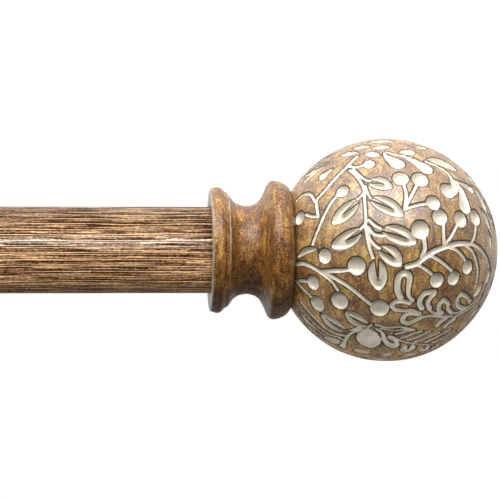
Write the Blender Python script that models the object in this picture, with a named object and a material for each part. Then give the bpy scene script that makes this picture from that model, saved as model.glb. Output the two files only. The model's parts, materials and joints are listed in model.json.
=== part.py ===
"""Telescoping curtain rod with a ball finial at each end and two wall brackets.

The rod lies in two open cradles. Each cradle is on an arm that slides out of a sleeve on its wall
plate, and a lock screw under the sleeve holds the arm. A clamp screw in each cradle holds the rod.
Each finial is a ball and a turned neck on a stud that screws into a plug in the rod's end.

Frame: metres, +Z up, +X to the right along the rod. The wall is the plane y = 0 and the room is
towards -Y. The origin is the centre of the right wall plate's back face.
"""

import math

import bmesh
import bpy
from mathutils import Matrix

MM = 0.001

# Driving dimensions, in millimetres
GAP = 0.3  # room between pieces that touch
ROD_R = 12.7  # the outer tube: 1 in across
OUTER_BORE_R = 12.1
INNER_R = 11.0  # the inner tube: 22 mm across
INNER_BORE_R = 10.4
PROJECTION = 88.9  # wall to the rod's axis with the arms fully home: 3.5 in
LENGTH = 812.8  # from neck to neck as shown: 32 in
SHORTEST = 762.0  # from neck to neck, closed: 30 in
INNER_LENGTH = 697.0
BRACKET_INSET = 110.0  # from each neck to the middle of its bracket

STUD_R = 3.175  # 1/4 in
STUD_BORE_R = STUD_R + GAP
STUD_IN_PLUG = 14.0
STUD_IN_BALL = 35.0  # end of the stud, from the neck's face
STUD_TIP_ROOM = 1.4  # beyond the stud's tip, in the plug's hole
PLUG_FLOOR = 5.0
TUBE_IN_NECK = 1.6
NECK_RECESS_DEPTH = 3.2
WASHER_R = 12.0
BALL_R = 33.1
BALL_CENTRE = 52.3  # from the neck's face
BALL_BORE_END = 36.0

PLATE_R = 30.0
SCREW_SPACING = 40.0  # between the two wall screws of a plate
SLEEVE_R = 8.0
SLEEVE_END = 50.0
SLEEVE_FLOOR = 14.0
ARM_R = 5.0
RIVET_R = 3.0
CRADLE_R = ROD_R + GAP
CRADLE_WALL = 3.0
CRADLE_HALF_WIDTH = 9.0
CRADLE_TOP = 7.0  # height of the cradle's walls above the rod's axis
CLAMP_R = 2.5
CLAMP_BOSS_END = 108.9
LOCK_R = 2.0
LOCK_PLACE = 43.0  # from the wall to the lock screw

SIDES = 32
SMALL_SIDES = 16

# Ways that a turned piece's axis can point, as turns of its local +X
RIGHT = (0.0, 0.0, 0.0)
LEFT = (0.0, 0.0, math.pi)
ROOM = (0.0, 0.0, -math.pi / 2)
DOWN = (0.0, math.pi / 2, 0.0)

# Colour, roughness and metallic of each material
LOOKS = {
    "faux_wood": ((0.30, 0.16, 0.08), 0.45, 0.0),
    "carved_resin": ((0.42, 0.26, 0.12), 0.60, 0.0),
    "bronze_paint": ((0.13, 0.08, 0.05), 0.45, 0.3),
    "zinc_steel": ((0.62, 0.61, 0.58), 0.35, 1.0),
    "nylon": ((0.75, 0.73, 0.68), 0.50, 0.0),
    "dark_plastic": ((0.12, 0.08, 0.06), 0.50, 0.0),
}


def clear_scene():
    for thing in list(bpy.data.objects):
        bpy.data.objects.remove(thing)


def make_materials():
    for name, (colour, roughness, metallic) in LOOKS.items():
        material = bpy.data.materials.new(name)
        material.use_nodes = True
        shader = material.node_tree.nodes["Principled BSDF"]
        shader.inputs["Base Color"].default_value = (*colour, 1.0)
        shader.inputs["Roughness"].default_value = roughness
        shader.inputs["Metallic"].default_value = metallic


def joint_frame(name, place, turn=RIGHT, parent=None):
    """An empty on a joint's axis, which the pieces that move together are parented to."""
    empty = bpy.data.objects.new(name, None)
    empty.location = [value * MM for value in place]
    empty.rotation_euler = turn
    empty.parent = parent
    bpy.context.scene.collection.objects.link(empty)
    return empty


def finished(name, shape, look, parent, place, turn):
    """Turns a bmesh in millimetres into an object in metres."""
    bmesh.ops.recalc_face_normals(shape, faces=shape.faces[:])
    bmesh.ops.transform(shape, matrix=Matrix.Scale(MM, 4), verts=shape.verts[:])
    mesh = bpy.data.meshes.new(name)
    shape.to_mesh(mesh)
    shape.free()
    mesh.shade_smooth()
    mesh.set_sharp_from_angle(angle=math.radians(30))
    piece = bpy.data.objects.new(name, mesh)
    piece.location = [value * MM for value in place]
    piece.rotation_euler = turn
    piece.parent = parent
    if look:
        mesh.materials.append(bpy.data.materials[look])
    bpy.context.scene.collection.objects.link(piece)
    return piece


def turned(name, outline, look, parent, place=(0, 0, 0), turn=RIGHT, sides=SIDES):
    """A solid turned about its local +X. The outline is (distance along, radius) in order.

    An outline that starts and ends on the axis is left open there. Any other is a closed ring.
    """
    shape = bmesh.new()
    corners = [shape.verts.new((along, 0.0, radius)) for along, radius in outline]
    for first, second in zip(corners, corners[1:]):
        shape.edges.new((first, second))
    if outline[0][1] > 0:
        shape.edges.new((corners[-1], corners[0]))
    bmesh.ops.spin(
        shape,
        geom=shape.verts[:] + shape.edges[:],
        axis=(1, 0, 0),
        cent=(0, 0, 0),
        angle=2 * math.pi,
        steps=sides,
        use_merge=True,
    )
    bmesh.ops.remove_doubles(shape, verts=shape.verts[:], dist=0.001)
    return finished(name, shape, look, parent, place, turn)


def arc(centre, radius, start, end, steps):
    """Points of a circle's arc between two angles in degrees, both ends included."""
    found = []
    for step in range(steps + 1):
        angle = math.radians(start + (end - start) * step / steps)
        found.append(
            (centre[0] + radius * math.cos(angle), centre[1] + radius * math.sin(angle))
        )
    return found


def strip_around_rod(name, inner_r, outer_r, top, look, parent):
    """A U-shaped strip under the rod, open upwards, in a bracket's own frame."""
    centre = (PROJECTION, 0.0)
    outline = [(PROJECTION - outer_r, top)]
    outline += arc(centre, outer_r, 180, 360, 16)
    outline += [(PROJECTION + outer_r, top), (PROJECTION + inner_r, top)]
    outline += arc(centre, inner_r, 360, 180, 16)
    outline += [(PROJECTION - inner_r, top)]
    shape = bmesh.new()
    corners = [shape.verts.new((along, -CRADLE_HALF_WIDTH, up)) for along, up in outline]
    side = shape.faces.new(corners)
    grown = bmesh.ops.extrude_face_region(shape, geom=[side])["geom"]
    moved = [item for item in grown if isinstance(item, bmesh.types.BMVert)]
    bmesh.ops.translate(shape, vec=(0, 2 * CRADLE_HALF_WIDTH, 0), verts=moved)
    return finished(name, shape, look, parent, (0, 0, 0), RIGHT)


def combine(piece, tool, operation):
    """Cuts a piece with a tool, or joins the tool to it."""
    tool.hide_render = True
    tool.display_type = "WIRE"
    boolean = piece.modifiers.new(tool.name, "BOOLEAN")
    boolean.operation = operation
    boolean.solver = "EXACT"
    boolean.object = tool


def tool_rod(name, start, end, radius, parent, place=(0, 0, 0), turn=RIGHT):
    """A plain round tool for drilling a hole or adding a boss."""
    outline = [(start, 0.0), (start, radius), (end, radius), (end, 0.0)]
    return turned(name, outline, None, parent, place, turn, SMALL_SIDES)


def make_tubes(right_neck, left_neck):
    """The outer tube with its bushing, and the inner tube with its glide."""
    closed_cradle = right_neck - SHORTEST + BRACKET_INSET
    flange = 2.0
    clear_of_cradle = 3.0
    mouth = closed_cradle + CRADLE_HALF_WIDTH + clear_of_cradle + flange + GAP

    outer = joint_frame("rod", (0, -PROJECTION, 0))
    end = right_neck + TUBE_IN_NECK
    outline = [(mouth, OUTER_BORE_R), (mouth, ROD_R), (end, ROD_R), (end, OUTER_BORE_R)]
    turned("outer_tube", outline, "faux_wood", outer)

    inside, outside = INNER_R + GAP, OUTER_BORE_R - GAP
    insert = 15.0
    outline = [
        (mouth - GAP - flange, inside),
        (mouth - GAP - flange, ROD_R),
        (mouth - GAP, ROD_R),
        (mouth - GAP, outside),
        (mouth + insert, outside),
        (mouth + insert, inside),
    ]
    turned("tube_bushing", outline, "dark_plastic", outer)

    inner = joint_frame("rod_extension", (0, -PROJECTION, 0))
    collar = 2.4  # the left plug's collar that shows beside the neck
    start = left_neck + collar + GAP
    end = start + INNER_LENGTH
    outline = [(start, INNER_BORE_R), (start, INNER_R), (end, INNER_R), (end, INNER_BORE_R)]
    turned("inner_tube", outline, "faux_wood", inner)

    plug_r = INNER_BORE_R - GAP
    plug_start = end - 12.0
    outline = [
        (plug_start, 0.0),
        (plug_start, plug_r),
        (end + GAP, plug_r),
        (end + GAP, outside),
        (end + GAP + flange, outside),
        (end + GAP + flange, 0.0),
    ]
    turned("inner_glide", outline, "nylon", inner)

    hole_end = -STUD_IN_PLUG - STUD_TIP_ROOM
    plug_end = hole_end - PLUG_FLOOR
    plug_r = OUTER_BORE_R - GAP
    outline = [
        (plug_end, 0.0),
        (plug_end, plug_r),
        (TUBE_IN_NECK, plug_r),
        (TUBE_IN_NECK, STUD_BORE_R),
        (hole_end, STUD_BORE_R),
        (hole_end, 0.0),
    ]
    turned("right_end_plug", outline, "dark_plastic", outer, (right_neck, 0, 0))

    plug_r = INNER_BORE_R - GAP
    outline = [
        (plug_end, 0.0),
        (plug_end, plug_r),
        (-collar, plug_r),
        (-collar, ROD_R),
        (TUBE_IN_NECK, ROD_R),
        (TUBE_IN_NECK, STUD_BORE_R),
        (hole_end, STUD_BORE_R),
        (hole_end, 0.0),
    ]
    turned("left_end_plug", outline, "dark_plastic", inner, (left_neck, 0, 0), LEFT)


def seat_depth(radius):
    """Distance from the neck's face to the ball seat at a radius."""
    return BALL_CENTRE - math.sqrt((BALL_R + GAP) ** 2 - radius**2)


def make_finial(side, neck_face, turn):
    """A ball and neck on their stud, with the washer behind the neck."""
    finial = joint_frame(side + "_finial", (neck_face, -PROJECTION, 0), turn)

    recess_r = ROD_R + GAP
    outline = [
        (0.0, recess_r),
        (0.0, 17.6),
        (0.4, 18.1),
        (2.0, 18.6),
        (3.2, 18.3),
        (4.4, 17.0),
        (5.5, 16.2),
        (6.8, 14.5),
        (8.4, 13.4),
        (10.8, 13.0),
        (13.0, 13.4),
        (14.9, 14.9),
        (16.1, 17.0),
        (17.3, 19.8),
        (18.6, 20.5),
        (20.6, 20.2),
        (22.6, 19.1),
    ]
    outline += [(seat_depth(radius), radius) for radius in (17.5, 14.0, 10.0, STUD_BORE_R)]
    outline += [(NECK_RECESS_DEPTH, STUD_BORE_R), (NECK_RECESS_DEPTH, recess_r)]
    turned(side + "_finial_neck", outline, "carved_resin", finial)

    mouth = math.degrees(math.asin(STUD_BORE_R / BALL_R))
    outline = arc((BALL_CENTRE, 0.0), BALL_R, 0, 180 - mouth, 16)
    outline[0] = (BALL_CENTRE + BALL_R, 0.0)
    outline += [(BALL_BORE_END, STUD_BORE_R), (BALL_BORE_END, 0.0)]
    turned(side + "_finial_ball", outline, "carved_resin", finial)

    chamfer = 0.6
    outline = [
        (-STUD_IN_PLUG, 0.0),
        (-STUD_IN_PLUG, STUD_R - chamfer),
        (-STUD_IN_PLUG + chamfer, STUD_R),
        (STUD_IN_BALL - chamfer, STUD_R),
        (STUD_IN_BALL, STUD_R - chamfer),
        (STUD_IN_BALL, 0.0),
    ]
    turned(side + "_finial_stud", outline, "zinc_steel", finial, sides=SMALL_SIDES)

    front, back = TUBE_IN_NECK + GAP, NECK_RECESS_DEPTH - GAP
    hole_r = STUD_BORE_R + 0.1
    outline = [(front, hole_r), (front, WASHER_R), (back, WASHER_R), (back, hole_r)]
    turned(side + "_finial_washer", outline, "nylon", finial)


def make_wall_screw(name, height, bracket):
    """A countersunk wood screw through the wall plate, head towards the room."""
    outline = [(4.4, 0.0), (4.4, 4.3), (2.2, 2.1), (-28.0, 2.1), (-34.0, 0.0)]
    turned(name, outline, "bronze_paint", bracket, (0, 0, height), sides=SMALL_SIDES)


def make_plate_and_sleeve(side, bracket):
    """The wall plate with its two screws, and the sleeve whose spigot is fixed in the plate."""
    socket_r = 6.3
    outline = [
        (0.0, 0.0),
        (0.0, PLATE_R),
        (2.2, PLATE_R),
        (3.4, 28.8),
        (4.4, 26.0),
        (5.0, 14.5),
        (6.2, 12.8),
        (8.0, 12.0),
        (8.0, socket_r),
        (3.0, socket_r),
        (3.0, 0.0),
    ]
    plate = turned(side + "_wall_plate", outline, "bronze_paint", bracket)
    for end, height in (("upper", SCREW_SPACING / 2), ("lower", -SCREW_SPACING / 2)):
        hole = [(-2.0, 0.0), (-2.0, 2.5), (2.1, 2.5), (4.9, 5.3), (8.0, 5.3), (8.0, 0.0)]
        place = (0, 0, height)
        tool = f"{side}_{end}_hole"
        combine(plate, turned(tool, hole, None, bracket, place, sides=SMALL_SIDES), "DIFFERENCE")
        make_wall_screw(f"{side}_wall_screw_{end}", height, bracket)

    bore_r = ARM_R + GAP
    outline = [
        (3.0 + GAP, 0.0),
        (3.0 + GAP, socket_r - GAP),
        (8.0 + GAP, socket_r - GAP),
        (8.0 + GAP, 10.4),
        (9.8, 10.4),
        (11.0, SLEEVE_R),
        (46.2, SLEEVE_R),
        (46.9, 9.2),
        (49.2, 9.2),
        (SLEEVE_END, 8.4),
        (SLEEVE_END, bore_r),
        (SLEEVE_FLOOR, bore_r),
        (SLEEVE_FLOOR, 0.0),
    ]
    sleeve = turned(side + "_arm_sleeve", outline, "bronze_paint", bracket)
    place = (LOCK_PLACE, 0, 0)
    drill = tool_rod(side + "_lock_hole", 3.5, 11.0, LOCK_R + GAP, bracket, place, DOWN)
    combine(sleeve, drill, "DIFFERENCE")


def make_arm(side, bracket):
    """The sliding arm, with the cradle riveted to its end."""
    arm = joint_frame(side + "_arm", (0, 0, 0), RIGHT, bracket)
    back_wall = PROJECTION - CRADLE_R - CRADLE_WALL
    rivet_end = back_wall + CRADLE_WALL - GAP
    start = SLEEVE_FLOOR + GAP
    outline = [
        (start, 0.0),
        (start, ARM_R - 0.5),
        (start + 0.5, ARM_R),
        (back_wall - GAP, ARM_R),
        (back_wall - GAP, RIVET_R),
        (rivet_end, RIVET_R),
        (rivet_end, 0.0),
    ]
    turned(side + "_sliding_arm", outline, "bronze_paint", arm, sides=24)

    outer_r = CRADLE_R + CRADLE_WALL
    cradle = strip_around_rod(
        side + "_cradle", CRADLE_R, outer_r, CRADLE_TOP, "bronze_paint", arm
    )
    front_wall = PROJECTION + CRADLE_R
    boss = tool_rod(side + "_boss", front_wall + 2.0, CLAMP_BOSS_END, 5.0, arm)
    combine(cradle, boss, "UNION")
    rivet_hole = (back_wall - 1.0, back_wall + CRADLE_WALL + 1.0, RIVET_R + GAP)
    combine(cradle, tool_rod(side + "_rivet_hole", *rivet_hole, arm), "DIFFERENCE")
    clamp_hole = (front_wall - 1.0, CLAMP_BOSS_END + 1.0, CLAMP_R + GAP)
    combine(cradle, tool_rod(side + "_clamp_hole", *clamp_hole, arm), "DIFFERENCE")
    return arm


def make_clamp(side, arm):
    """The thumbscrew in the cradle's front wall, and the pad on its tip."""
    wall = PROJECTION + CRADLE_R
    pad_end = wall + 1.2
    outline = [(wall, 0.0), (wall, CLAMP_R), (pad_end, CLAMP_R), (pad_end, 0.0)]
    turned(side + "_clamp_pad", outline, "nylon", arm, sides=SMALL_SIDES)

    head = CLAMP_BOSS_END + 4.1
    head_r = 7.0
    outline = [
        (pad_end + GAP, 0.0),
        (pad_end + GAP, CLAMP_R),
        (head, CLAMP_R),
        (head, head_r - 0.6),
        (head + 0.6, head_r),
        (head + 7.0, head_r),
        (head + 8.0, head_r - 1.0),
        (head + 8.0, 0.0),
    ]
    turned(side + "_clamp_screw", outline, "bronze_paint", arm, sides=SMALL_SIDES)


def make_lock(side, bracket):
    """The screw under the sleeve that holds the arm, and the pad on its tip."""
    place = (LOCK_PLACE, 0, 0)
    top = ARM_R + GAP
    pad_end = top + 1.0
    outline = [(top, 0.0), (top, LOCK_R), (pad_end, LOCK_R), (pad_end, 0.0)]
    turned(side + "_lock_pad", outline, "nylon", bracket, place, DOWN, SMALL_SIDES)

    head, head_r = 12.0, 4.2
    outline = [
        (pad_end + GAP, 0.0),
        (pad_end + GAP, LOCK_R),
        (head, LOCK_R),
        (head, head_r),
        (head + 3.4, head_r),
        (head + 4.0, head_r - 0.6),
        (head + 4.0, 0.0),
    ]
    turned(side + "_lock_screw", outline, "bronze_paint", bracket, place, DOWN, SMALL_SIDES)


def make_bracket(side, middle):
    """A whole wall bracket. Its own frame has +X towards the room."""
    bracket = joint_frame(side + "_bracket", (middle, 0, 0), ROOM)
    make_plate_and_sleeve(side, bracket)
    make_lock(side, bracket)
    arm = make_arm(side, bracket)
    make_clamp(side, arm)
    return arm


def main():
    clear_scene()
    make_materials()
    right_neck = BRACKET_INSET
    left_neck = right_neck - LENGTH
    make_tubes(right_neck, left_neck)
    make_finial("right", right_neck, RIGHT)
    make_finial("left", left_neck, LEFT)
    make_bracket("right", 0.0)
    left_arm = make_bracket("left", left_neck + BRACKET_INSET)
    strip_around_rod(
        "left_cradle_liner", INNER_R + GAP, ROD_R, CRADLE_TOP - 2.0, "nylon", left_arm
    )


main()
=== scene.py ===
"""Looks of the curtain rod with brackets.

Every CAD node is replaced by a finer mesh of the same size in the same place, with a procedural
material. The finials are castings with a carved vine: the relief is real geometry, and the same
carving gives the paint its masks. Lengths are in millimetres until a mesh is made.
"""

import json
import math

import bmesh
import bpy
import numpy as np
from mathutils import Matrix, Vector, noise

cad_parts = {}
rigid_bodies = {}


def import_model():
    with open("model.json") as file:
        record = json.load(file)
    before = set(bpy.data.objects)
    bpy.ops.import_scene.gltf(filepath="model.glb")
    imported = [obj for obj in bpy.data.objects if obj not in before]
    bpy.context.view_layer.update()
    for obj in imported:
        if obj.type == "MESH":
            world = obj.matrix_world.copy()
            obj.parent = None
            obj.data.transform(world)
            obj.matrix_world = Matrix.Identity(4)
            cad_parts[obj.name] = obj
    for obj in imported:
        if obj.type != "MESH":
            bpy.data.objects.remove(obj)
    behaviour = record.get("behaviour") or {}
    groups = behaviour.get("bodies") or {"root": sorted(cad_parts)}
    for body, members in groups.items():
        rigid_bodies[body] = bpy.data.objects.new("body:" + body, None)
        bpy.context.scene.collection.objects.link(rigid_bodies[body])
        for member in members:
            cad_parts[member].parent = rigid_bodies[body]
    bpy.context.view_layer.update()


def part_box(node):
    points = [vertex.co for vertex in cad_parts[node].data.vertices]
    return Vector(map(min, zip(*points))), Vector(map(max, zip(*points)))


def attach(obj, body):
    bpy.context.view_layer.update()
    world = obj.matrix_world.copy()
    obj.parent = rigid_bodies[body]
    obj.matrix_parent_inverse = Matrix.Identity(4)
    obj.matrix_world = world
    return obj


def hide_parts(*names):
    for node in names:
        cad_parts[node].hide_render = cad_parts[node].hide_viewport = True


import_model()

MM = 0.001

# Sizes that the finer meshes share with the CAD, in millimetres
GAP = 0.3
PROJECTION = 88.9  # wall to the rod's axis
ROD_R = 12.7
OUTER_BORE_R = 12.1
INNER_R = 11.0
INNER_BORE_R = 10.4
STUD_R = 3.175
STUD_BORE_R = STUD_R + GAP
BALL_R = 33.1
BALL_CENTRE = 52.3  # from the neck's face
BALL_BORE_END = 36.0
CRADLE_R = ROD_R + GAP
CRADLE_WALL = 3.0
CRADLE_HALF_WIDTH = 9.0
CRADLE_TOP = 7.0
LOCK_PLACE = 43.0

# Places along X, read from the frame
NECK_FACE = {
    "right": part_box("right_finial_neck")[0].x / MM,
    "left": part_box("left_finial_neck")[1].x / MM,
}
BRACKET_MIDDLE = {
    side: (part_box(f"{side}_wall_plate")[0].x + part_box(f"{side}_wall_plate")[1].x) / 2 / MM
    for side in ("right", "left")
}

# Ways that a turned piece's axis can point, as turns of its local +X
RIGHT = (0.0, 0.0, 0.0)
LEFT = (0.0, 0.0, math.pi)
ROOM = (0.0, 0.0, -math.pi / 2)
DOWN = (0.0, math.pi / 2, -math.pi / 2)


# --- The vine on the ball ------------------------------------------------------------------------
# Places are (longitude, latitude) in degrees on the ball: 0, 0 faces the room, longitude grows
# towards the finial's outer end and latitude grows upwards.

STEM = 0.52  # half-width of a stem's groove, in millimetres

# A stroke is a groove through its places. Each one has a half-width or one for each end.
STROKES = [
    # upper left spray
    (STEM, [(-34, 55), (-37, 48), (-41, 41), (-46, 32), (-50, 26), (-48, 21), (-46, 17)]),
    (STEM, [(-51, 25), (-57, 29), (-64, 29), (-69, 26)]),
    (STEM, [(-46, 17), (-50, 17), (-55, 18)]),
    (STEM, [(-36, 47), (-31, 46), (-26, 47)]),
    (STEM, [(-36, 29), (-39, 25), (-42, 18), (-44, 12), (-46, 7), (-47.5, 3)]),
    # centre sprig and its leaf stalks
    (0.45, [(-34, 44), (-28, 40), (-23.5, 35.5), (-21, 31), (-19.7, 24), (-18.7, 17), (-18.5, 12)]),
    (0.5, [(-18.5, 12), (-17.5, 6), (-16, 0), (-14.8, -3.5)]),
    (0.4, [(-31.5, 44.5), (-26, 40.5), (-21.5, 37.5), (-18, 36.5)]),
    (0.4, [(-20.5, 31), (-21.5, 28.5), (-24, 26)]),
    (0.4, [(-18.7, 16.5), (-19, 13), (-21, 10.5)]),
    (0.38, [(-20.5, 33.5), (-18.7, 29.5), (-16.8, 26.5)]),
    (0.45, [(-17, 15), (-14, 12.3), (-11, 10.7)]),
    (0.45, [(-17.3, 11.5), (-14.3, 8), (-10, 7)]),
    (0.45, [(-17.5, 10), (-16.2, 5.5), (-14, 2.7), (-11.5, 1)]),
    # berries at the top
    (0.45, [(-8, 59), (-1, 57), (6, 55)]),
    (0.5, [(2, 35), (3, 29), (1.5, 21)]),
    (0.5, [(11, 35), (6, 28), (1.5, 21)]),
    (0.5, [(14, 23.5), (8, 22.5), (1.5, 20.5)]),
    (0.55, [(25, 50.5), (33, 47), (38, 43.5), (39.3, 39), (37.5, 34)]),
    # arch on the right, with its berries' stalks
    (0.75, [(2, -8), (7, -6.5), (11, -3.5), (16, -0.5), (22, 1.5), (29, 3), (35, 3.3)]),
    (0.55, [(34, 3.3), (40, 3), (46, 1), (51, -2), (56, -6), (60, -11), (61, -15)]),
    (0.5, [(35, 2.5), (40, -0.5), (43.5, -5), (46, -10), (47.5, -16)]),
    (0.65, [(10.5, 6), (11, 1), (9.5, -3)]),
    (0.55, [(22, 13), (21.5, 8), (21.5, 3)]),
    (0.5, [(30, 12), (26, 7), (22, 3)]),
    (0.5, [(44.5, 12), (43, 8), (40, 4)]),
    (0.5, [(24, 1.5), (29, 0), (32.5, -2.5), (35, -5)]),
    (0.5, [(13, -2.5), (17, -4), (22, -7), (26.5, -10)]),
    (0.5, [(7, -7), (11, -9), (15.5, -12)]),
    # lower left berries
    (0.6, [(-60, -7), (-55, -6.7), (-50, -7.8), (-45, -10), (-41, -12.5)]),
    (0.5, [(-41, -12.5), (-37, -16), (-34.5, -20)]),
    (0.6, [(-43, -10.8), (-36, -10.3), (-30, -10), (-26, -9.3)]),
    (0.6, [(-40, -11.5), (-35, -14), (-30, -16.8), (-25, -20.5), (-20, -25), (-17, -27.5)]),
    (0.5, [(-60, -15.5), (-55, -15.7), (-51, -16)]),
    (0.5, [(-64, -15), (-60, -18.5), (-56, -22), (-53, -25)]),
    # lower right sprig: its double stem, and a band for each half of an arched leaf
    (0.42, [(34, -33), (40, -33), (46, -30.8), (51, -28), (56, -24.5), (60, -18)]),
    (0.42, [(38, -36), (43, -34), (49, -31.5), (54, -28.8), (59, -24)]),
    (0.9, [(-0.5, -24), (-2.3, -20), (-2.3, -15), (-1, -12), (1, -11)]),
    ((0.9, 0.5), [(1, -11), (3.3, -12.5), (3.6, -16), (3.3, -20), (4, -23), (6.5, -25.5)]),
    (0.8, [(12.5, -30), (10.5, -27), (11, -24), (13, -21.5), (18, -21)]),
    (0.75, [(18.5, -21.5), (16.5, -24), (15.5, -27), (17.3, -30)]),
    (0.4, [(17, -30.5), (21, -32.7), (27, -33.7)]),
    (0.75, [(27, -33), (24, -31), (23, -28), (25, -25.3)]),
    (0.7, [(25.5, -25.3), (28.8, -27.5), (30.5, -30.5), (34, -32.5)]),
    (0.75, [(46, -30.5), (41, -30), (37, -28.5), (35, -25), (37, -22.3)]),
    (0.7, [(37, -22.3), (42.5, -24), (47.5, -26.7)]),
    (0.7, [(5, -27), (1, -26), (-3, -26.3), (-5, -28.5), (-3, -30.7)]),
    (0.6, [(-3, -30.7), (2, -31.3), (7, -31.3), (12, -33)]),
    (0.75, [(11, -33.3), (6.5, -32.8), (3, -34.3), (2, -37)]),
    (0.8, [(2.5, -38), (6, -39.3), (10, -37.5), (14, -35.3)]),
    (0.5, [(14, -35.3), (20, -34.5), (28, -35.2), (36, -35)]),
    (0.8, [(28, -41), (29.3, -38.3), (32, -36.5)]),
    (0.8, [(35.7, -42), (37.3, -39.5), (40, -37)]),
    # garland round the bottom
    (0.5, [(-66, -27), (-62, -34), (-58, -40), (-53, -45.5), (-47, -48), (-42, -48.5)]),
    (0.4, [(-73, -30), (-68, -37), (-62, -44), (-56, -48.5), (-49, -50), (-47, -51.5)]),
    (0.35, [(-79, -33), (-74, -40), (-67, -47), (-60, -52)]),
    ((0.4, 0.6), [(-18, -40.5), (-22, -43), (-27, -44), (-33, -46), (-38, -48.5), (-45, -53)]),
    ((0.6, 1.1), [(-45, -53), (-50, -56), (-56, -59)]),
    (0.3, [(-35, -44.5), (-29, -43), (-22, -41)]),
    (1.6, [(-21.5, -45.5), (-25.5, -47.5), (-28, -51), (-27, -54.5), (-22, -56.5)]),
    (1.5, [(-24.5, -49.5), (-20.5, -51), (-22.5, -53.5)]),
    ((1.6, 1.2), [(-22, -56), (-18, -54.5), (-16, -51), (-17.5, -46.8)]),
    ((0.35, 1.2), [(-15, -43), (-11, -46), (-9.5, -51), (-6, -55.5), (0, -57.5)]),
    (0.7, [(-5.5, -49.3), (-0.5, -52), (2, -56)]),
    (0.38, [(-15, -40), (-8, -42.3), (0, -41.8), (7, -42.7), (12, -44)]),
    (0.3, [(-12, -42.8), (-5, -44.2), (2, -43.9), (7, -43)]),
    (0.42, [(-1, -47), (2.5, -46), (7, -44.5), (11, -44.1)]),
    (0.45, [(4, -50), (8, -48.6), (12, -46.6), (18, -45)]),
    (0.42, [(10, -52), (15, -50.2), (20, -47.8), (25, -45.2)]),
    (0.45, [(17, -53.6), (22, -52.6), (27.5, -49.8), (34, -46.3)]),
    (0.6, [(29, -54), (34, -51), (38.5, -47.5), (44, -44.2)]),
    (0.5, [(37, -54.5), (43, -53), (48, -49.5), (52, -46)]),
    (0.6, [(50, -53), (55, -48.5), (60, -44.5), (66, -41)]),
    (0.3, [(-4, -48.3), (1, -51), (8, -53.6), (16, -55), (24, -56), (32, -56.6), (42, -57)]),
    # drops, which widen to a round end
    ((0.35, 2.2), [(-10, 58), (-7, 54), (0.5, 48.5)]),
    ((0.5, 2.2), [(6, 56), (14, 51), (21, 45)]),
    ((0.4, 1.6), [(-50, 45), (-54, 40.5)]),
    ((0.4, 2.4), [(38.5, 39.5), (41.8, 33), (41, 27.5), (39.5, 22.5)]),
    ((0.8, 2.4), [(38.7, 38), (36.5, 32.5), (30, 30.8)]),
    ((0.4, 1.5), [(40, 38), (45, 36), (54, 32.5)]),
    # outer end
    (0.5, [(60, 34), (68, 26), (74, 15), (76, 2), (74, -10)]),
    (0.5, [(76, 2), (82, 8), (86, 16)]),
    (0.5, [(75, -8), (82, -12), (88, -12)]),
]

# A berry is a round hollow: its place and radius.
BERRIES = [
    (-60, 16.3, 2.1), (-21, 48.3, 1.8), (-34, 30.5, 1.9), (1, 38, 2.4), (13.5, 37.5, 2.5),
    (18, 24, 2.2), (9, 10, 2.65), (20.5, 16.5, 2.4), (33.5, 15.4, 2.4), (46, 16.5, 2.4),
    (37.3, -8.5, 2.1), (28.6, -14, 2.15), (18.5, -15, 2.2), (-40, -3, 2.15), (-23, -7.8, 2.6),
    (-49.5, -16.5, 2.2), (-34.8, -26, 2.7), (-51, -28, 2.5), (-12, -30, 2.75), (86, 22, 2.3),
    (70, 40, 2.0),
]

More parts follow.
